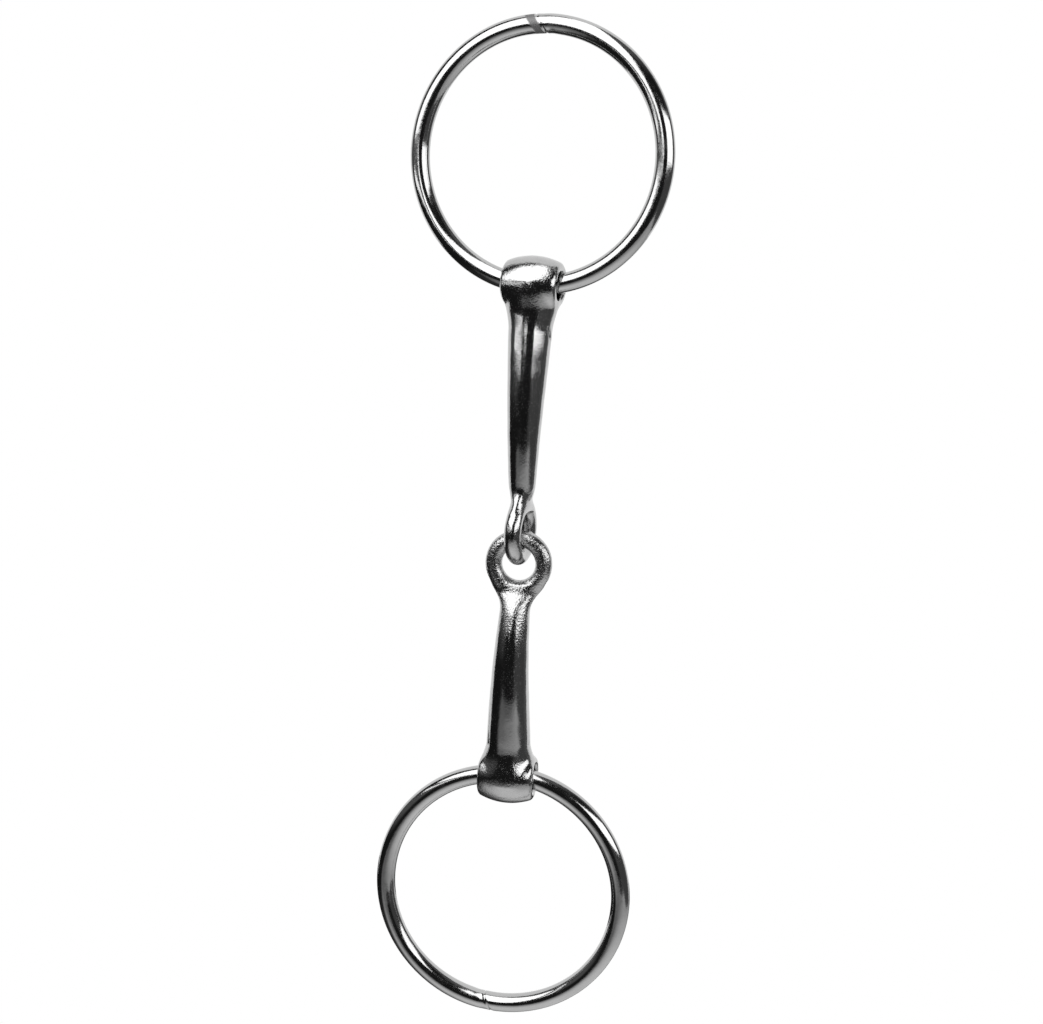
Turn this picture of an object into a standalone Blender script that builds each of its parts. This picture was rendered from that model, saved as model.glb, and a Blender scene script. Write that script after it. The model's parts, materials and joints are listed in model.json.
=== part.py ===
"""Loose-ring snaffle bit, hanging straight down from its upper ring.

Four separate pieces: two wire rings and the two cast arms of the jointed
mouthpiece. Each arm has a crowned cross barrel, whose hole runs loosely on a
ring, a round tapered shaft and an eye. The two eyes are linked through each
other with their planes at right angles.

Metres, +Z up. The origin is the inner top of the upper ring, where the bit
hangs. +X runs along the hole of the upper barrel and lies in the upper ring's
plane.
"""
import math

import bmesh
import bpy
from mathutils import Matrix, Vector

# Rings
RING_RADIUS = 0.0325            # to the middle of the wire: 70 mm over all
WIRE_RADIUS = 0.0025

# Cross barrels at the ring ends of the arms
BARREL_HALF_LENGTH = 0.0075
BARREL_RADIUS = 0.0074
BARREL_END_RADIUS = 0.0057      # at the flat end faces, below the crown
HOLE_RADIUS = 0.0036
MOUTH_RADIUS = 0.0041           # the hole's worn, flared mouths
MOUTH_DEPTH = 0.0007

# Eyes of the centre joint
EYE_RADIUS = 0.0067             # to the middle of the eye's round section
EYE_WIRE_RADIUS = 0.00225

# Shafts
TAPER = 0.0556                  # radius lost per unit of length
SHOULDER_THICKNESS = 0.0062     # half thickness where the shaft leaves the barrel
BOW_SKEW = 1.3                  # above 1, the shaft bows most beyond its middle, nearer the eye

# Heights below the middle of the upper ring, with the chain pulled straight
UPPER_HOLE_DROP = 0.0324
UPPER_EYE_DROP = 0.0967
LOWER_HOLE_DROP = 0.1633
LOWER_RING_DROP = 0.1956
LINK_GAP = 0.0003               # air left between the two linked eyes
LINK_TWIST = math.radians(6.9)  # the lower arm and ring hang turned about Z

LINK_SPACING = 2 * EYE_WIRE_RADIUS + LINK_GAP
LOWER_EYE_DROP = UPPER_EYE_DROP + 2 * EYE_RADIUS - LINK_SPACING

# Each arm: hole centre to eye centre, the shaft's radius below the shoulder,
# where the shoulder starts and ends, where the barrel's flat ends start to be cut
# away towards the shaft and how steeply, how far the shaft bows along X and Y, and
# the turn of the eye about the arm. Both arms curve to the same side of the bit, -Y.
UPPER = dict(length=UPPER_EYE_DROP - UPPER_HOLE_DROP, neck=0.0058, shoulder=(0.0028, 0.0118),
             cut_start=0.0034, cut_angle=math.radians(17), bow=(0.0005, -0.0030),
             eye_turn=math.radians(90))
LOWER = dict(length=LOWER_HOLE_DROP - LOWER_EYE_DROP, neck=0.0060, shoulder=(0.0036, 0.0096),
             cut_start=0.0045, cut_angle=math.radians(36), bow=(-0.0002, 0.0030),
             eye_turn=0.0)

RING_STEPS = 72
WIRE_STEPS = 12
TURN_STEPS = 32                 # round barrels, holes and eyes
SHAFT_STEPS = 24

STEEL = (0.62, 0.62, 0.62, 1.0)


def clear_scene():
    for thing in list(bpy.data.objects):
        bpy.data.objects.remove(thing, do_unlink=True)


def polished_metal(name, roughness):
    material = bpy.data.materials.new(name)
    material.use_nodes = True
    shader = material.node_tree.nodes["Principled BSDF"]
    shader.inputs["Base Color"].default_value = STEEL
    shader.inputs["Metallic"].default_value = 1.0
    shader.inputs["Roughness"].default_value = roughness
    return material


def add_object(name, bm, material=None, parent=None, matrix=Matrix.Identity(4)):
    """Link the mesh as one object at the matrix, shaded smooth between its sharp edges."""
    bmesh.ops.recalc_face_normals(bm, faces=bm.faces)
    mesh = bpy.data.meshes.new(name)
    bm.to_mesh(mesh)
    bm.free()
    mesh.shade_smooth()
    mesh.set_sharp_from_angle(angle=math.radians(40))
    if material:
        mesh.materials.append(material)
    thing = bpy.data.objects.new(name, mesh)
    bpy.context.scene.collection.objects.link(thing)
    thing.parent = parent
    thing.matrix_local = matrix
    return thing


def turned(profile, steps):
    """Spin a profile of (distance along X, radius) points about X into one closed skin."""
    bm = bmesh.new()
    corners = [bm.verts.new((along, 0.0, radius)) for along, radius in profile]
    edges = [bm.edges.new(pair) for pair in zip(corners, corners[1:])]
    bmesh.ops.spin(bm, geom=corners + edges, cent=(0, 0, 0), axis=(1, 0, 0),
                   angle=math.tau, steps=steps, use_merge=True)
    bmesh.ops.remove_doubles(bm, verts=bm.verts, dist=1e-6)
    return bm


def torus(radius, wire_radius, steps, wire_steps):
    """A ring of round wire in the XZ plane, centred on the origin."""
    bm = bmesh.new()
    section = bmesh.ops.create_circle(bm, segments=wire_steps, radius=wire_radius,
                                      matrix=Matrix.Translation((radius, 0, 0)))
    verts = section["verts"]
    edges = list({edge for vert in verts for edge in vert.link_edges})
    bmesh.ops.spin(bm, geom=verts + edges, cent=(0, 0, 0), axis=(0, 1, 0),
                   angle=math.tau, steps=steps, use_merge=True)
    return bm


def barrel(arm):
    """The crowned cross barrel, its hole along X, with both ends cut back towards the shaft."""
    drop = BARREL_RADIUS - BARREL_END_RADIUS
    crown = (BARREL_HALF_LENGTH ** 2 + drop ** 2) / (2 * drop)
    count = 10
    profile = [(-BARREL_HALF_LENGTH, 0.0)]
    for i in range(count + 1):
        along = BARREL_HALF_LENGTH * (2 * i / count - 1)
        profile.append((along, BARREL_RADIUS - crown + math.sqrt(crown ** 2 - along ** 2)))
    profile.append((BARREL_HALF_LENGTH, 0.0))
    bm = turned(profile, TURN_STEPS)
    for side in (-1, 1):
        cut = bmesh.ops.bisect_plane(
            bm, geom=bm.verts[:] + bm.edges[:] + bm.faces[:], clear_outer=True,
            plane_co=(side * BARREL_HALF_LENGTH, 0, -arm["cut_start"]),
            plane_no=(side * math.cos(arm["cut_angle"]), 0, -math.sin(arm["cut_angle"])))
        rim = [item for item in cut["geom_cut"] if isinstance(item, bmesh.types.BMEdge)]
        bmesh.ops.contextual_create(bm, geom=rim)
    return bm


def shaft_sections(arm):
    """(distance from the hole, half width across the hole's axis plane, half thickness).

    The first group is the shoulder, an oval as wide as the barrel that narrows to
    the round neck, then comes the straight taper.
    """
    start, end = arm["shoulder"]
    sections = [(0.0, BARREL_HALF_LENGTH - 0.0006, SHOULDER_THICKNESS)]
    count = 8
    for i in range(count + 1):
        u = i / count
        fade = 1 - u * u * (3 - 2 * u)
        sections.append((start + (end - start) * u,
                         arm["neck"] + (BARREL_HALF_LENGTH - 0.0001 - arm["neck"]) * fade,
                         arm["neck"] + (SHOULDER_THICKNESS - arm["neck"]) * fade))
    taper_end = arm["length"] - 0.0135
    count = 6
    for i in range(1, count + 1):
        distance = end + (taper_end - end) * i / count
        radius = arm["neck"] - TAPER * (distance - end)
        sections.append((distance, radius, radius))
    return sections


# The web between shaft and eye: distance from the eye's centre, half width in the
# eye's plane, half thickness across it. It ends inside the eye's round section.
WEB = [(0.0105, 0.0040, 0.0031), (0.0088, 0.0048, 0.0027),
       (0.0071, 0.0061, 0.0024), (0.0056, 0.0067, 0.0019)]


def shaft(arm):
    """Loft the curved shaft down -Z from inside the barrel to inside the eye."""
    rows = [(d, a, b, False) for d, a, b in shaft_sections(arm)]
    rows += [(arm["length"] - d, a, b, True) for d, a, b in WEB]
    bowed_length = rows[-1][0]
    turn = arm["eye_turn"]
    bm = bmesh.new()
    rings = []
    for distance, wide, thick, in_web in rows:
        share = math.sin(math.pi * (distance / bowed_length) ** BOW_SKEW)
        shift = Vector((*arm["bow"], 0)) * share
        ring = []
        for k in range(SHAFT_STEPS):
            angle = math.tau * k / SHAFT_STEPS
            around = angle - turn if in_web else angle
            point = Vector((wide * math.cos(around), thick * math.sin(around), -distance))
            if in_web:
                point.rotate(Matrix.Rotation(turn, 3, "Z"))
            ring.append(bm.verts.new(point + shift))
        rings.append(ring)
    for upper, lower in zip(rings, rings[1:]):
        for k in range(SHAFT_STEPS):
            j = (k + 1) % SHAFT_STEPS
            bm.faces.new((upper[k], upper[j], lower[j], lower[k]))
    bm.faces.new(rings[0])
    bm.faces.new(rings[-1])
    return bm


def hole_cutter():
    """The ring hole along X, with a flare at each mouth."""
    flare = BARREL_HALF_LENGTH - MOUTH_DEPTH
    past = BARREL_HALF_LENGTH + 0.002
    wide = MOUTH_RADIUS + (MOUTH_RADIUS - HOLE_RADIUS) * (past - BARREL_HALF_LENGTH) / MOUTH_DEPTH
    profile = [(-past, 0.0), (-past, wide), (-flare, HOLE_RADIUS),
               (flare, HOLE_RADIUS), (past, wide), (past, 0.0)]
    return turned(profile, TURN_STEPS)


def add_boolean(target, name, bm, operation, matrix=Matrix.Identity(4)):
    """Join or cut the target with a helper solid that is parented to it and hidden."""
    helper = add_object(name, bm, parent=target, matrix=matrix)
    helper.hide_render = True
    helper.display_type = "WIRE"
    modifier = target.modifiers.new(name, "BOOLEAN")
    modifier.operation = operation
    modifier.object = helper


def add_arm(name, arm, matrix, pivot, material):
    """One cast arm. The mesh is built with the hole at the origin and the eye below it,
    then shifted so that the object's origin is the pivot, a point in that same frame."""
    shift = Matrix.Translation(-Vector(pivot))
    bm = shaft(arm)
    bm.transform(shift)
    body = add_object(name, bm, material, matrix=matrix @ shift.inverted())
    add_boolean(body, name + "_barrel_solid", barrel(arm), "UNION", shift)
    eye = torus(EYE_RADIUS, EYE_WIRE_RADIUS, TURN_STEPS, WIRE_STEPS)
    eye_place = (Matrix.Translation((0, 0, -arm["length"]))
                 @ Matrix.Rotation(arm["eye_turn"], 4, "Z"))
    add_boolean(body, name + "_eye_solid", eye, "UNION", shift @ eye_place)
    add_boolean(body, name + "_hole_cutter", hole_cutter(), "DIFFERENCE", shift)
    return body


def below_upper_ring(drop):
    """The point on the chain's axis this far below the middle of the upper ring."""
    return Vector((0, 0, -(RING_RADIUS - WIRE_RADIUS) - drop))


def build():
    clear_scene()
    ring_steel = polished_metal("ring_steel", 0.12)
    cast_steel = polished_metal("cast_steel", 0.18)
    twist = Matrix.Rotation(LINK_TWIST, 4, "Z")
    upside_down = Matrix.Rotation(math.pi, 4, "X")

    add_object("upper_ring", torus(RING_RADIUS, WIRE_RADIUS, RING_STEPS, WIRE_STEPS), ring_steel,
               matrix=Matrix.Translation(below_upper_ring(0)))
    add_arm("upper_mouthpiece_arm", UPPER, Matrix.Translation(below_upper_ring(UPPER_HOLE_DROP)),
            (0, 0, 0), cast_steel)
    link_pivot = UPPER_EYE_DROP + EYE_RADIUS
    add_arm("lower_mouthpiece_arm", LOWER,
            Matrix.Translation(below_upper_ring(LOWER_HOLE_DROP)) @ twist @ upside_down,
            (0, 0, -(LOWER_HOLE_DROP - link_pivot)), cast_steel)
    ring_origin = LOWER_RING_DROP - LOWER_HOLE_DROP
    lower_ring = torus(RING_RADIUS, WIRE_RADIUS, RING_STEPS, WIRE_STEPS)
    lower_ring.transform(Matrix.Translation((0, 0, -ring_origin)))
    add_object("lower_ring", lower_ring, ring_steel,
               matrix=Matrix.Translation(below_upper_ring(LOWER_HOLE_DROP)) @ twist)


build()
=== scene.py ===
"""Looks of the snaffle bit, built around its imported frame.

Each of the four frame nodes is replaced by a fine mesh of the same size and place:
two wire rings with the joints that close them, and the two cast arms of the
mouthpiece. An arm is described as a distance field, so that barrel, shaft, web, eye
and hole run into each other with the soft fillets of a polished casting, and its
mesh is the surface where that field is zero.

Metres, in the frame's axes: +Z up, the inner top of the upper ring at the origin.
"""
import json
import math

import bpy
import numpy as np
from mathutils import Matrix, Vector

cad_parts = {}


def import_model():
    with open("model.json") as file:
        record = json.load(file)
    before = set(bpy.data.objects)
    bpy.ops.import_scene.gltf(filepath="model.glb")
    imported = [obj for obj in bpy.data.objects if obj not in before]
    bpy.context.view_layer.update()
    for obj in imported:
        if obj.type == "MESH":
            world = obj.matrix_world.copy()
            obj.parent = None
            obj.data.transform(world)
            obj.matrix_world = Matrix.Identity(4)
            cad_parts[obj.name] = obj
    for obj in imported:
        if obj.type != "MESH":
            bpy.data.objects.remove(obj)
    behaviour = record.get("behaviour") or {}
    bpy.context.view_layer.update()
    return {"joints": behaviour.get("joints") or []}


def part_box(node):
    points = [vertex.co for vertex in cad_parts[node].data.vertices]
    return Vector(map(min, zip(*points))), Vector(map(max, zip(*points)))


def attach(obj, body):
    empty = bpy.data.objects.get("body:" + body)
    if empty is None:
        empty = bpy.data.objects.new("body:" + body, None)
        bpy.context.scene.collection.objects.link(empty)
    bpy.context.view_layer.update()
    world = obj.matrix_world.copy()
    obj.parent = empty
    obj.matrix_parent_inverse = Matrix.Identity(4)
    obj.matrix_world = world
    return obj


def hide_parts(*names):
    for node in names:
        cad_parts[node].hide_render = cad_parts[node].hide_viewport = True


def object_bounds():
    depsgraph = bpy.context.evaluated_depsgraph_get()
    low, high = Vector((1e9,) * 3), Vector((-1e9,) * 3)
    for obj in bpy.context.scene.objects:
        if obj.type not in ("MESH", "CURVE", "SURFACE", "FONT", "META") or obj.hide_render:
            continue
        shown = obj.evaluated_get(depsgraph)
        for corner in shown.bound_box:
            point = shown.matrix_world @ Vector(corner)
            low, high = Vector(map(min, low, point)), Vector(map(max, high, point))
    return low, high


MM = 0.001

# Rings
WIRE_SPAN = 0.25 * MM           # mesh spacing along the wire
WIRE_STEPS = 48                 # mesh steps round the wire
RING_INSET = 0.004 * MM         # keeps the wire just inside the frame's box
UPPER_JOINT = dict(joint_angle=math.radians(95), joint_width=2.5 * MM)
LOWER_JOINT = dict(joint_angle=math.radians(267), joint_width=0.3 * MM)
JOINT_SLANT = 0.57              # of the wire's radius, each way along the ring
JOINT_EDGE = 0.25 * MM          # over which the band of brazing ends
JOINT_DEPTH = 0.05 * MM         # of the band below the wire
JOINT_GROOVE = dict(beyond=0.4 * MM, width=0.24 * MM, depth=0.24 * MM)
JOINT_GROUND = dict(beyond=2 * MM, width=1.3 * MM, depth=0.09 * MM)

# Arms, as in the frame's design
BARREL_END_RADIUS = 5.7 * MM
HOLE_RADIUS = 3.6 * MM
EYE_WIRE_RADIUS = 2.25 * MM
TAPER = 0.0556                  # shaft radius lost per unit of length
TAPER_EASE = 4 * MM             # length over which the taper sets in
SHOULDER_THICKNESS = 6.2 * MM   # half thickness where the shaft leaves the barrel
SHOULDER_INSET = 0.25 * MM      # of the shoulder's sides from the barrel's ends
BOW_SKEW = 1.3                  # the shaft bows most beyond its middle, nearer the eye
WEB_LENGTH = 13.5 * MM          # from where the shaft starts to flatten to the eye's centre
WEB_END = 5.6 * MM              # the web stops inside the eye's round section
WEB_THICKNESS = 1.9 * MM        # half thickness there
WEB_SPREAD_EASE = 1.5           # above 1, the web widens late
WEB_THIN_EASE = 1.3             # above 1, the web thins late

# Fillets and rounded edges, as the reach of their blend
BARREL_FACES_EDGE = 0.8 * MM    # between a barrel end's upright and cut faces
BARREL_END_EDGE = 1.0 * MM      # between the crown and those faces
SHAFT_END_EDGE = 0.5 * MM
BARREL_FILLET = 0.5 * MM        # between barrel and shaft, at the barrel's ends
BARREL_FILLET_RISE = 2.5 * MM   # more than that in the barrel's middle
EYE_FILLET = 1.2 * MM
HOLE_EDGE = 0.9 * MM
NICK_EDGE = 0.3 * MM
NICK_RADIUS = 0.40 * MM         # of the nick itself

# The unevenness of a hand-polished casting: waves across, through and along, and a phase
POLISH_WAVES = ((0.9, 0.35, 0.55, 0.0), (-0.45, 0.8, 0.7, 1.9), (0.3, -0.9, 1.05, 4.1),
                (1.4, 0.9, -0.35, 2.6), (-1.1, 1.2, 0.9, 5.3))
POLISH_DEPTH = 0.008 * MM
POLISH_SHIFT = 3.9              # above the waves' greatest sum, so that all of it is inwards

# Where the cast skin keeps its pebbles: full strength, then fading out over a length
EYE_SKIN_REACH = 9 * MM
EYE_SKIN_FADE = 14 * MM
BARREL_SKIN = 0.3               # strength, beside the eye_skin of each arm below
BARREL_SKIN_REACH = 7 * MM
BARREL_SKIN_FADE = 4 * MM

UPPER_ARM = dict(neck=5.8 * MM, shoulder=(2.8 * MM, 11.8 * MM), cut_start=3.4 * MM,
                 cut_angle=math.radians(17), bow=(0.5 * MM, -3.0 * MM), eye_across=False,
                 eye_skin=0.25,
                 nick=((5.2 * MM, -2.9 * MM, -10.6 * MM), (5.9 * MM, -1.8 * MM, -13.2 * MM)))
LOWER_ARM = dict(neck=6.0 * MM, shoulder=(3.6 * MM, 9.6 * MM), cut_start=4.5 * MM,
                 cut_angle=math.radians(36), bow=(-0.2 * MM, 3.0 * MM), eye_across=True,
                 eye_skin=1.0, nick=None)
ARM_STEP = 0.28 * MM            # cell size of the arms' surface
ARM_MARGIN = 1 * MM             # of empty cells round an arm
SETTLE_ROUNDS = 3
RELAX_ROUNDS = 4
SLOPE_REACH = 0.02 * MM         # step for measuring a field's slope

# Camera, measured from the middle of the upper ring
VIEW_AZIMUTH = math.radians(17.5)
VIEW_DISTANCE = 0.452
VIEW_DROP = 0.0162
VIEW_PITCH = math.radians(9.47)
VIEW_ROLL = math.radians(3)
LENS = 60.4

# Studio: metres to the camera's right, towards the camera and up, from the frame's origin.
# Each panel stands on the line between its two ends and leans in by some degrees.
TABLE_HEIGHT = -0.50
TABLE_FRONT = 0.80
TABLE_SIDE = 0.70
TABLE_STEPS = 28
# The table glows with a painted pool of light under the bit, which fades out over a ring
TABLE_BRIGHT = 0.87             # radiance under the bit
BRIGHT_RADIUS = 0.20            # to where the table is as bright as that
BRIGHT_FADE = 0.45              # width of the ring over which it dims
FLOOR_HALF_WIDTH = 1.5
FLOOR_BACK = -2.5
ROOM_RADIUS = 1.6
ROOM_HALF_ANGLE = 118           # degrees to each side of the camera
ROOM_LOWEST = -89               # degrees of elevation
ROOM_HIGHEST = 84
ROOM_STEPS = (48, 36)
# The dim room glows as a sheet of painted shade, with painted light greying its sides and overhead
ROOM_DARK = 0.012               # radiance
ROOM_GREY = 0.11
ROOM_EDGE = 16                  # degrees over which one grey turns into another
PANELS = dict(
    left_softbox=dict(ends=((-0.31, 0.03), (-0.30, 0.80)), bottom=0.0, top=0.70, lean=30,
                      level=2.3),
    left_strip=dict(ends=((-0.30, 0.02), (-0.30, 0.34)), bottom=-0.076, top=-0.050, lean=0,
                    level=1.9),
    right_softbox=dict(ends=((0.42, 1.04), (1.15, 0.06)), bottom=-0.04, top=0.42, lean=5,
                       level=2.2))


# ---------------------------------------------------------------- arms

def smooth_min(a, b, reach):
    """The smaller distance, with a fillet where the two differ by less than the reach."""
    share = np.clip(0.5 + 0.5 * (b - a) / reach, 0, 1)
    return b + (a - b) * share - reach * share * (1 - share)


def smooth_max(a, b, reach):
    """The larger distance, with its edge rounded in the same way."""
    return -smooth_min(-a, -b, reach)


def smoothstep(x):
    """From 0 to 1 as x does, level at both ends."""
    x = np.clip(x, 0, 1)
    return x * x * (3 - 2 * x)


def barrel_field(arm, x, y, z):
    """The crowned cross barrel along X, with both ends cut back towards the shaft."""
    half, radius = arm["half_length"], arm["barrel_radius"]
    drop = radius - BARREL_END_RADIUS
    crown = (half ** 2 + drop ** 2) / (2 * drop)
    skin = np.hypot(x, np.hypot(y, z) + crown - radius) - crown
    past_end = np.abs(x) - half
    angle = arm["cut_angle"]
    cut = math.cos(angle) * past_end - math.sin(angle) * (z + arm["cut_start"])
    ends = smooth_max(past_end, cut, BARREL_FACES_EDGE)
    return smooth_max(skin, ends, BARREL_END_EDGE)


def shaft_field(arm, x, y, s):
    """The oval shoulder, the tapered round shaft and the web; s runs from hole to eye."""
    start, end = arm["shoulder"]
    length = arm["length"]
    fade = 1 - smoothstep((s - start) / (end - start))
    past_shoulder = s - end
    tapered = (past_shoulder + np.hypot(past_shoulder, TAPER_EASE)) / 2
    round_radius = arm["neck"] - TAPER * tapered
    wide = round_radius + (arm["half_length"] - SHOULDER_INSET - arm["neck"]) * fade
    thick = round_radius + (SHOULDER_THICKNESS - arm["neck"]) * fade
    share = np.clip((s - length + WEB_LENGTH) / (WEB_LENGTH - WEB_END), 0, 1)
    spread = smoothstep(share ** WEB_SPREAD_EASE)
    thin = smoothstep(share ** WEB_THIN_EASE)
    eye_side = round_radius + (arm["eye_radius"] - round_radius) * spread
    eye_front = round_radius + (WEB_THICKNESS - round_radius) * thin
    in_web = s > length - WEB_LENGTH
    if arm["eye_across"]:
        half_x = np.where(in_web, eye_side, wide)
        half_y = np.where(in_web, eye_front, thick)
    else:
        half_x = np.where(in_web, eye_front, wide)
        half_y = np.where(in_web, eye_side, thick)
    bow = np.sin(math.pi * np.clip(s / (length - WEB_END), 0, 1) ** BOW_SKEW)
    x = x - arm["bow"][0] * bow
    y = y - arm["bow"][1] * bow
    ratio = np.hypot(x / half_x, y / half_y)
    slope = np.maximum(np.hypot(x / half_x ** 2, y / half_y ** 2), 1.0)
    skin = ratio * (ratio - 1) / slope
    skin = smooth_max(skin, -s, SHAFT_END_EDGE)
    return smooth_max(skin, s - (length - WEB_END), SHAFT_END_EDGE)


def eye_field(arm, x, y, s):
    """The eye, a ring of round section. Its plane holds the barrel hole's axis if eye_across
    is set, and is at right angles to that axis if not."""
    across, through = (x, y) if arm["eye_across"] else (y, x)
    from_wire = np.hypot(across, s - arm["length"]) - arm["eye_radius"]
    return np.hypot(from_wire, through) - EYE_WIRE_RADIUS


def nick_field(ends, points):
    """A short round-bottomed nick between two points, where the casting was knocked."""
    start, end = np.array(ends)
    run = end - start
    share = np.clip((points - start) @ run / (run @ run), 0, 1)
    return np.linalg.norm(points - start - share[..., None] * run, axis=-1) - NICK_RADIUS


def hand_polish(x, y, z):
    """The slight unevenness that grinding and buffing leave on a casting, all of it inwards."""
    total = 0
    for a, b, c, phase in POLISH_WAVES:
        total = total + np.sin((a * x + b * y + c * z) / MM + phase) / math.hypot(a, b, c)
    return POLISH_DEPTH * (total + POLISH_SHIFT)


def arm_field(arm, points):
    """Signed distance, nearly, of points in the arm's frame: the hole at the origin and
    along X, the eye towards -Z."""
    x, y, z = points[..., 0], points[..., 1], points[..., 2]
    inner = 1 - np.clip(np.abs(x) / arm["half_length"], 0, 1) ** 2
    body = smooth_min(barrel_field(arm, x, y, z), shaft_field(arm, x, y, -z),
                      BARREL_FILLET + BARREL_FILLET_RISE * inner ** 2)
    body = smooth_min(body, eye_field(arm, x, y, -z), EYE_FILLET)
    hole = np.hypot(y, z) - HOLE_RADIUS
    body = smooth_max(body, -hole, HOLE_EDGE)
    if arm["nick"]:
        body = smooth_max(body, -nick_field(arm["nick"], points), NICK_EDGE)
    return body + hand_polish(x, y, z)


def gradient(field, points):
    """The field's slope along the three axes."""
    slopes = []
    for axis in range(3):
        offset = np.zeros(3)
        offset[axis] = SLOPE_REACH
        difference = field(points + offset) - field(points - offset)
        slopes.append(difference / (2 * SLOPE_REACH))
    return np.stack(slopes, axis=-1)


def settle(field, points):
    """Move the points along the gradient onto the surface."""
    for _ in range(SETTLE_ROUNDS):
        slope = gradient(field, points)
        square = np.maximum((slope ** 2).sum(-1), 0.05)
        points = points - slope * (field(points) / square)[:, None]
    return points


def surface_net(field, low, high, step):
    """Quads over the surface where the field is zero: one vertex for each crossed cell."""
    lines = [np.arange(a, b + step, step) for a, b in zip(low, high)]
    inside = field(np.stack(np.meshgrid(*lines, indexing="ij"), axis=-1)) < 0
    corners = sum(inside[i:i - 1 or None, j:j - 1 or None, k:k - 1 or None].astype(np.int8)
                  for i in (0, 1) for j in (0, 1) for k in (0, 1))
    crossed = (corners > 0) & (corners < 8)
    number = np.full(crossed.shape, -1)
    number[crossed] = np.arange(crossed.sum())
    points = np.array(low) + step * (np.argwhere(crossed) + 0.5)
    quads = []
    for axis in range(3):
        order = (axis, (axis + 1) % 3, (axis + 2) % 3)
        nodes, cells = inside.transpose(order), number.transpose(order)
        first, last = nodes[:-1, 1:-1, 1:-1], nodes[1:, 1:-1, 1:-1]
        i, j, k = np.nonzero(first != last)
        quad = np.stack([cells[i, j, k], cells[i, j + 1, k], cells[i, j + 1, k + 1],
                         cells[i, j, k + 1]], axis=1)
        outward = first[i, j, k]
        quads.append(np.where(outward[:, None], quad, quad[:, ::-1]))
    return points, np.concatenate(quads)


def relax(points, quads):
    """Each point moves to the mean of the middles of its faces."""
    middles = points[quads].mean(axis=1)
    corner = quads.ravel()
    count = np.bincount(corner, minlength=len(points))
    spread = np.repeat(middles, 4, axis=0)
    return np.stack([np.bincount(corner, spread[:, axis], len(points)) / count
                     for axis in range(3)], axis=1)


def make_object(name, points, faces, normals=None, values=None):
    mesh = bpy.data.meshes.new(name)
    mesh.from_pydata(points.tolist(), [], faces.tolist())
    mesh.shade_smooth()
    if normals is not None:
        mesh.normals_split_custom_set_from_vertices(normals.tolist())
    for key, value in (values or {}).items():
        mesh.attributes.new(key, "FLOAT", "POINT").data.foreach_set(
            "value", value.astype(np.float32))
    thing = bpy.data.objects.new(name, mesh)
    bpy.context.scene.collection.objects.link(thing)
    return thing


def make_arm(name, arm, place):
    """The arm's surface, meshed in its own frame and set in the bit by the place matrix."""
    def field(points):
        return arm_field(arm, points)

    eye_outer = arm["eye_radius"] + EYE_WIRE_RADIUS
    wide = max(arm["half_length"], eye_outer) + ARM_MARGIN
    low = (-wide, -wide, -arm["length"] - eye_outer - ARM_MARGIN)
    high = (wide, wide, arm["barrel_radius"] + ARM_MARGIN)
    points, quads = surface_net(field, low, high, ARM_STEP)
    points = settle(field, points)
    for _ in range(RELAX_ROUNDS):
        points = settle(field, relax(points, quads))
    normals = gradient(field, points)
    normals /= np.linalg.norm(normals, axis=1)[:, None]
    from_eye = np.abs(-points[:, 2] - arm["length"])
    from_hole = np.hypot(points[:, 1], points[:, 2])
    near_eye = 1 - smoothstep((from_eye - EYE_SKIN_REACH) / EYE_SKIN_FADE)
    near_hole = 1 - smoothstep((from_hole - BARREL_SKIN_REACH) / BARREL_SKIN_FADE)
    rough_cast = np.maximum(arm["eye_skin"] * near_eye, BARREL_SKIN * near_hole)
    turn = np.array(place.to_3x3())
    return make_object(name, points @ turn.T + np.array(place.translation), quads,
                       normals @ turn.T, {"rough_cast": rough_cast})


def arm_place(hole, axis, towards_eye):
    """Matrix of an arm's frame: X along its hole, -Z towards its eye."""
    x = Vector(axis).normalized()
    z = -Vector(towards_eye).normalized()
    y = z.cross(x)
    place = Matrix((x, y, z)).transposed().to_4x4()
    place.translation = Vector(hole)
    return place


def measured_arm(node, design, hole):
    """The design of an arm with the sizes that the frame's nodes give; the upper arm's box
    shows the barrels' length and the eyes' width directly, and the lower arm shares both."""
    low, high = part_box("upper_mouthpiece_arm")
    arm_low, arm_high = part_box(node)
    eye_outer = (high.y - low.y) / 2
    upward = design["eye_across"]
    eye_end = arm_high.z if upward else arm_low.z
    return dict(design, half_length=(high.x - low.x) / 2,
                barrel_radius=abs((arm_low.z if upward else arm_high.z) - hole[2]),
                eye_radius=eye_outer - EYE_WIRE_RADIUS,
                length=abs(eye_end - hole[2]) - eye_outer)


# ---------------------------------------------------------------- rings

def hollow(from_joint, beyond, width, depth):
    """Depth of a shallow hollow across the wire, some way beyond the joint's edge."""
    return depth * np.exp(-((from_joint + beyond) / width) ** 2)


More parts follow.
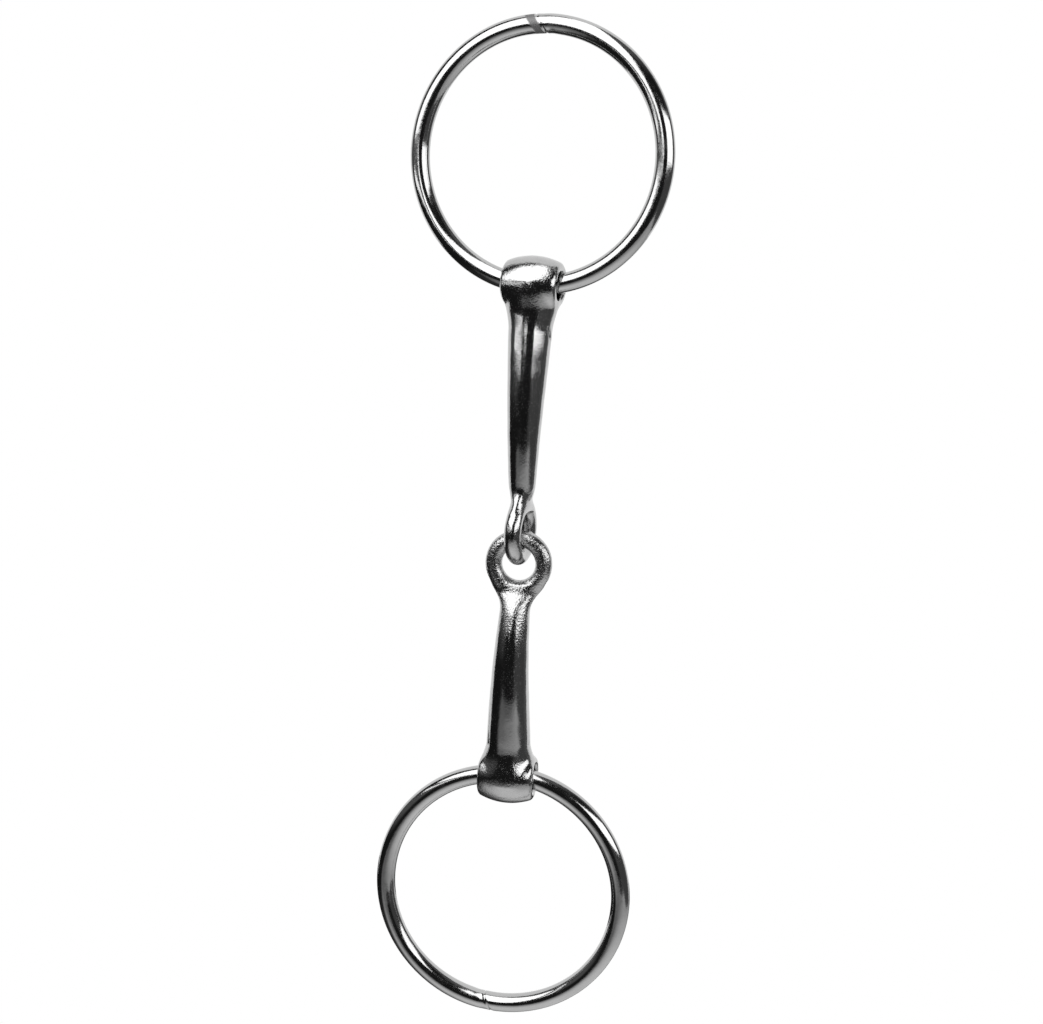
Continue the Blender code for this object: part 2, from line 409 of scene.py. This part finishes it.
def make_ring(name, node, turn, joint_angle, joint_width):
    """A ring of round wire. Its closing joint is a slanted band of brazing, ground nearly flush."""
    low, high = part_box(node)
    centre = np.array((low + high) / 2)
    outer = (high.z - low.z) / 2
    upper_low, upper_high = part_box("upper_ring")
    wire = (upper_high.y - upper_low.y) / 2
    radius = outer - wire
    steps = int(round(math.tau * radius / WIRE_SPAN / 8)) * 8
    around, about = np.meshgrid(math.tau * np.arange(steps) / steps,
                                math.tau * np.arange(WIRE_STEPS) / WIRE_STEPS, indexing="ij")
    turned = np.angle(np.exp(1j * (around - joint_angle)))
    along = turned * radius - JOINT_SLANT * wire * np.cos(about)
    band = smoothstep((joint_width / 2 - np.abs(along)) / JOINT_EDGE)
    skin = wire - RING_INSET - JOINT_DEPTH * band
    for mark in (JOINT_GROOVE, JOINT_GROUND):
        skin = skin - hollow(along + joint_width / 2, **mark)
    level = radius + skin * np.cos(about)
    x, y, z = level * np.cos(around), -skin * np.sin(about), level * np.sin(around)
    cosine, sine = math.cos(turn), math.sin(turn)
    points = np.stack([x * cosine - y * sine, x * sine + y * cosine, z], axis=-1) + centre
    number = np.arange(steps * WIRE_STEPS).reshape(steps, WIRE_STEPS)
    ahead, beside = np.roll(number, -1, axis=0), np.roll(number, -1, axis=1)
    both = np.roll(ahead, -1, axis=1)
    quads = np.stack([number, ahead, both, beside], axis=-1).reshape(-1, 4)
    return make_object(name, points.reshape(-1, 3), quads,
                       values={"joint": band.ravel(), "along": (turned * radius).ravel(),
                               "about": (about * wire).ravel()})


# ---------------------------------------------------------------- materials

class Nodes:
    """A short way to write a material's node tree."""

    def __init__(self, name):
        self.material = bpy.data.materials.new(name)
        self.material.use_nodes = True
        self.tree = self.material.node_tree
        self.shader = self.tree.nodes["Principled BSDF"]

    def add(self, kind, inputs=None, **settings):
        node = self.tree.nodes.new(kind)
        for key, value in settings.items():
            setattr(node, key, value)
        for key, value in (inputs or {}).items():
            self.feed(node.inputs[key], value)
        return node

    def feed(self, socket, value):
        if isinstance(value, bpy.types.NodeSocket):
            self.tree.links.new(value, socket)
        else:
            socket.default_value = value

    def noise(self, place, scale, detail, roughness=0.5):
        return self.add("ShaderNodeTexNoise", {"Vector": place, "Scale": scale, "Detail": detail,
                                               "Roughness": roughness}).outputs["Fac"]

    def spread(self, value, low, high, out_low, out_high):
        return self.add("ShaderNodeMapRange", {"Value": value, "From Min": low, "From Max": high,
                                               "To Min": out_low, "To Max": out_high}).outputs[0]

    def math(self, operation, a, b):
        return self.add("ShaderNodeMath", {0: a, 1: b}, operation=operation).outputs[0]

    def bump(self, height, strength, distance, normal=None):
        inputs = {"Height": height, "Strength": strength, "Distance": distance}
        if normal is not None:
            inputs["Normal"] = normal
        return self.add("ShaderNodeBump", inputs).outputs["Normal"]

    def value(self, name):
        return self.add("ShaderNodeAttribute", attribute_name=name).outputs["Fac"]

    def place(self):
        return self.add("ShaderNodeTexCoord").outputs["Object"]


def grey(level):
    return (level, level, level, 1.0)


def two_greys(nodes, share, dark, light):
    mix = nodes.add("ShaderNodeMix", {"Factor": share}, data_type="RGBA")
    nodes.feed(mix.inputs[6], grey(dark))
    nodes.feed(mix.inputs[7], grey(light))
    return mix.outputs[2]


def cast_metal():
    """Polished cast metal: fine grain all over, and a pebbled skin round eye and barrel."""
    nodes = Nodes("cast_metal")
    place = nodes.place()
    cast = nodes.value("rough_cast")
    grain = nodes.noise(place, 3200, 2)
    tint = nodes.math("MULTIPLY", nodes.math("ADD", nodes.noise(place, 420, 4), grain), 0.5)
    nodes.feed(nodes.shader.inputs["Base Color"], two_greys(nodes, tint, 0.38, 0.58))
    nodes.shader.inputs["Metallic"].default_value = 1.0
    haze = nodes.spread(nodes.noise(place, 700, 5), 0.3, 0.7, 0.09, 0.14)
    rough = nodes.math("MULTIPLY", cast, 0.05)
    specks = nodes.spread(nodes.noise(place, 2600, 1), 0.58, 0.70, 0, 0.14)
    rough = nodes.math("ADD", rough, specks)
    nodes.feed(nodes.shader.inputs["Roughness"], nodes.math("ADD", haze, rough))
    pebbles = nodes.noise(place, 1900, 2)
    normal = nodes.bump(pebbles, nodes.spread(cast, 0, 1, 0.05, 1.0), 0.14 * MM)
    normal = nodes.bump(grain, nodes.spread(cast, 0, 1, 0.5, 0.8), 0.03 * MM, normal)
    nodes.feed(nodes.shader.inputs["Normal"], normal)
    return nodes.material


def ring_metal():
    """Bright drawn wire with faint draw lines and rub marks, and the joint's matt brazing."""
    nodes = Nodes("ring_metal")
    place = nodes.place()
    joint = nodes.value("joint")
    along = nodes.math("MULTIPLY", nodes.value("along"), 60)
    about = nodes.math("MULTIPLY", nodes.value("about"), 2200)
    lines = nodes.add("ShaderNodeCombineXYZ", {"X": along, "Y": about})
    draw = nodes.noise(lines.outputs[0], 1.0, 3)
    grain = nodes.noise(place, 3000, 3)
    tint = nodes.math("MULTIPLY", nodes.math("ADD", nodes.noise(place, 150, 4), grain), 0.5)
    tint = nodes.math("SUBTRACT", nodes.spread(tint, 0, 1, 0.5, 1.1), joint)
    nodes.feed(nodes.shader.inputs["Base Color"], two_greys(nodes, tint, 0.24, 0.56))
    nodes.shader.inputs["Metallic"].default_value = 1.0
    rubbed = nodes.spread(nodes.noise(place, 260, 6, 0.65), 0.50, 0.70, 0.11, 0.20)
    nodes.feed(nodes.shader.inputs["Roughness"],
               nodes.math("ADD", rubbed, nodes.math("MULTIPLY", joint, 0.5)))
    ripple = nodes.noise(place, 330, 2)
    normal = nodes.bump(draw, 0.3, 0.012 * MM)
    normal = nodes.bump(ripple, 0.4, 0.06 * MM, normal)
    normal = nodes.bump(grain, nodes.spread(joint, 0, 1, 0.2, 0.9), 0.03 * MM, normal)
    nodes.feed(nodes.shader.inputs["Normal"], normal)
    return nodes.material


# ---------------------------------------------------------------- studio

def view_axes():
    """Unit vectors from the bit towards the camera, and to the camera's right, both level."""
    towards = Vector((math.sin(VIEW_AZIMUTH), -math.cos(VIEW_AZIMUTH), 0))
    right = Vector((math.cos(VIEW_AZIMUTH), math.sin(VIEW_AZIMUTH), 0))
    return towards, right


def add_camera(ring_middle):
    """The camera in front of the upper ring, looking slightly down and rolled a little."""
    towards, right = view_axes()
    camera = bpy.data.objects.new("camera", bpy.data.cameras.new("camera"))
    bpy.context.scene.collection.objects.link(camera)
    camera.data.lens = LENS
    camera.data.clip_start = 0.01
    ahead = -towards * math.cos(VIEW_PITCH) - Vector((0, 0, math.sin(VIEW_PITCH)))
    above = right.cross(ahead)
    across = right * math.cos(VIEW_ROLL) + above * math.sin(VIEW_ROLL)
    above = across.cross(ahead)
    turn = Matrix((across, above, -ahead)).transposed().to_4x4()
    turn.translation = ring_middle + towards * VIEW_DISTANCE - Vector((0, 0, VIEW_DROP))
    camera.matrix_world = turn
    bpy.context.scene.camera = camera


def emitter(name, level=None):
    """A surface that only shines, with one radiance or with that of its points."""
    nodes = Nodes(name)
    strength = nodes.value("level") if level is None else level
    light = nodes.add("ShaderNodeEmission", {"Color": grey(1.0), "Strength": strength})
    nodes.tree.links.new(light.outputs[0], nodes.tree.nodes["Material Output"].inputs[0])
    return nodes.material


def studio_place(x, y, z):
    """A point by its distances to the camera's right, towards the camera and up."""
    towards, right = view_axes()
    return right * x + towards * y + Vector((0, 0, z))


def add_stage(name, points, faces, material, levels=None, seen=False):
    """Part of the studio; unless it is seen, only the metal's reflections show it."""
    values = None if levels is None else {"level": np.array(levels)}
    thing = make_object(name, np.array([list(point) for point in points]), np.array(faces),
                        values=values)
    thing.data.materials.append(material)
    thing.visible_camera = seen
    thing.visible_shadow = False


def grid_faces(across, up):
    """Quads between the points of a grid, listed column by column."""
    row = up + 1
    return [(i * row + j, i * row + j + 1, (i + 1) * row + j + 1, (i + 1) * row + j)
            for i in range(across) for j in range(up)]


def add_panel(name, ends, bottom, top, lean, level):
    """A plane softbox between two heights, leaning in over the bit by some degrees."""
    (ax, ay), (bx, by) = ends
    inward = Vector((ay - by, bx - ax)).normalized()
    if inward.dot(Vector((ax + bx, ay + by))) > 0:
        inward.negate()
    reach = (top - bottom) * math.tan(math.radians(lean))
    corners = [(ax, ay, bottom), (bx, by, bottom),
               (bx + inward.x * reach, by + inward.y * reach, top),
               (ax + inward.x * reach, ay + inward.y * reach, top)]
    add_stage(name, [studio_place(*corner) for corner in corners], [(0, 1, 2, 3)],
              emitter(name, level))


def rise(degrees):
    """From 0 to 1, a half at zero."""
    return float(smoothstep(0.5 + degrees / ROOM_EDGE))


def painted_room_level(azimuth, elevation):
    """Painted radiance of the dim room behind the camera: dark painted shade, greyer at its sides
    and overhead with painted light.
    """
    left = rise(-50 - azimuth) * rise(22 - elevation) * rise(elevation + 1)
    right = rise(azimuth - 92) * rise(60 - elevation)
    low_right = 0.6 * rise(azimuth - 24) * rise(4 - elevation)
    overhead = rise(elevation - 57) * rise(azimuth + 30)
    share = max(left, right, low_right, overhead)
    return ROOM_DARK + (ROOM_GREY - ROOM_DARK) * share


def add_room(middle):
    """A piece of a sphere round the bit, on the camera's side, glowing with the room's painted
    shade and painted light.
    """
    across, up = ROOM_STEPS
    points, levels = [], []
    for i in range(across + 1):
        azimuth = -ROOM_HALF_ANGLE + 2 * ROOM_HALF_ANGLE * i / across
        for j in range(up + 1):
            elevation = ROOM_LOWEST + (ROOM_HIGHEST - ROOM_LOWEST) * j / up
            out = ROOM_RADIUS * math.cos(math.radians(elevation))
            height = middle + ROOM_RADIUS * math.sin(math.radians(elevation))
            points.append(studio_place(out * math.sin(math.radians(azimuth)),
                                       out * math.cos(math.radians(azimuth)), height))
            levels.append(painted_room_level(azimuth, elevation))
    add_stage("dim_room", points, grid_faces(across, up), emitter("dim_room"), levels)


def painted_table_level(x, y):
    """Painted radiance of the table: a painted pool of light under the bit, dimmer further out, and
    painted shade along its left.
    """
    away = min(max((math.hypot(x, y) - BRIGHT_RADIUS) / BRIGHT_FADE, 0), 1)
    dim = min(max(0.30 + 0.36 * x, 0.18), 0.48)
    # Painted shade along the table's left
    painted_shade_left = float(smoothstep((-x - 1.2 * y) / 0.3))
    return (TABLE_BRIGHT + (dim - TABLE_BRIGHT) * away) * (1 - 0.95 * painted_shade_left)


def add_table():
    """The pale floor behind the bit that the camera sees, and the table, a millimetre above
    its level, that the metal reflects, glowing with a painted pool of light and painted shade."""
    width, front = FLOOR_HALF_WIDTH, -TABLE_FRONT
    outline = ((-width, front), (width, front), (width, FLOOR_BACK), (-width, FLOOR_BACK))
    corners = [studio_place(x, y, TABLE_HEIGHT - 1 * MM) for x, y in outline]
    add_stage("floor", corners, [(0, 1, 2, 3)], emitter("floor", 1.0), seen=True)
    count = TABLE_STEPS
    places = [(-TABLE_SIDE + 2 * TABLE_SIDE * i / count, -TABLE_FRONT + 2 * TABLE_FRONT * j / count)
              for i in range(count + 1) for j in range(count + 1)]
    add_stage("table", [studio_place(x, y, TABLE_HEIGHT) for x, y in places],
              grid_faces(count, count), emitter("table"),
              [painted_table_level(x, y) for x, y in places])


def add_studio(bounds):
    """A white surround and floor, and in front of it what only the metal reflects: softboxes, and
    table and room glowing with painted light and painted shade.
    """
    low, high = bounds
    world = bpy.data.worlds.new("studio")
    bpy.context.scene.world = world
    world.use_nodes = True
    background = world.node_tree.nodes["Background"]
    background.inputs["Color"].default_value = grey(1.0)
    background.inputs["Strength"].default_value = 1.0
    add_room((low.z + high.z) / 2)
    add_table()
    for name, panel in PANELS.items():
        add_panel(name, **panel)
    bpy.context.scene.view_settings.view_transform = "Standard"


# ---------------------------------------------------------------- build

def build():
    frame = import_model()
    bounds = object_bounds()
    joints = {joint["name"]: joint for joint in frame["joints"]}
    upper_swing, lower_swing = joints["upper_ring_swing"], joints["lower_ring_swing"]
    ring_low, ring_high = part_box("upper_ring")
    add_camera((ring_low + ring_high) / 2)

    rings, castings = ring_metal(), cast_metal()
    lower_axis = Vector(lower_swing["axis"])
    turn = math.atan2(lower_axis.y, lower_axis.x)
    pieces = [
        (make_ring("upper_wire_ring", "upper_ring", 0.0, **UPPER_JOINT),
         "top_ring", "upper_ring", "ring_metal", rings),
        (make_ring("lower_wire_ring", "lower_ring", turn, **LOWER_JOINT),
         "bottom_ring", "lower_ring", "ring_metal", rings)]
    for name, node, body, design, swing, down in (
            ("upper_cast_arm", "upper_mouthpiece_arm", "upper_arm", UPPER_ARM, upper_swing, -1),
            ("lower_cast_arm", "lower_mouthpiece_arm", "lower_arm", LOWER_ARM, lower_swing, 1)):
        arm = measured_arm(node, design, swing["pos_m"])
        place = arm_place(swing["pos_m"], swing["axis"], (0, 0, down))
        pieces.append((make_arm(name, arm, place), body, node, "cast_metal", castings))
    for piece, body, node, slot, material in pieces:
        piece.data.materials.append(material)
        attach(piece, body)
        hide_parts(node)

    add_studio(bounds)


build()
